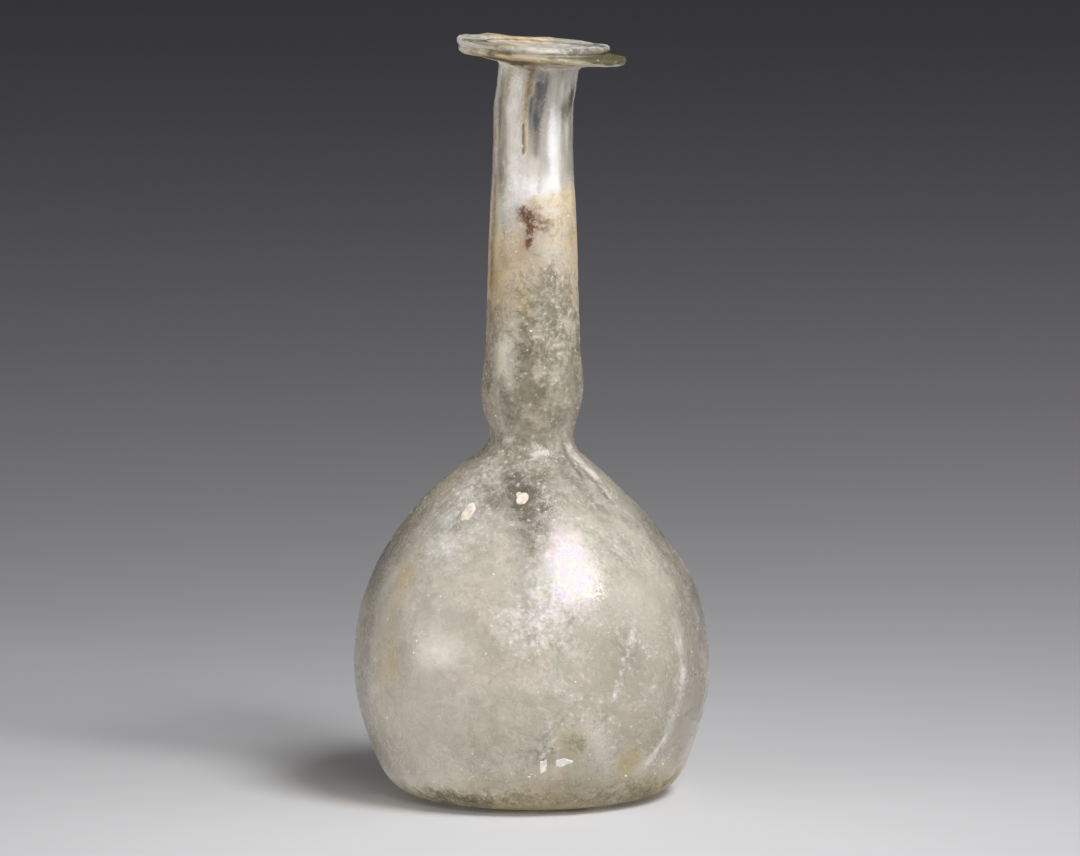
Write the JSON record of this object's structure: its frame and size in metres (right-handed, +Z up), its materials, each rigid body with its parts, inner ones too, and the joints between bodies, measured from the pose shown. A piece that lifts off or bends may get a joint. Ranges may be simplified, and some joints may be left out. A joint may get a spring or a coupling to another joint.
{
  "type": "glass perfume flask",
  "caption": "Free-blown weathered glass perfume flask: round flat-footed body, long nipped neck and a wide folded rim, open and empty.",
  "frame": {"origin": "centre of the foot, on the surface that the flask stands on", "axes": "+Z up through the neck, +X towards the side where the rim leans down, +Y away from the viewer"},
  "size_m": [0.0751, 0.0752, 0.1604],
  "materials": {
    "weathered_glass": "clear greenish glass with a milky weathering film, soil and iridescence, semi-gloss"
  },
  "bodies": {
    "root": {"flask": "weathered_glass"}
  },
  "joints": []
}
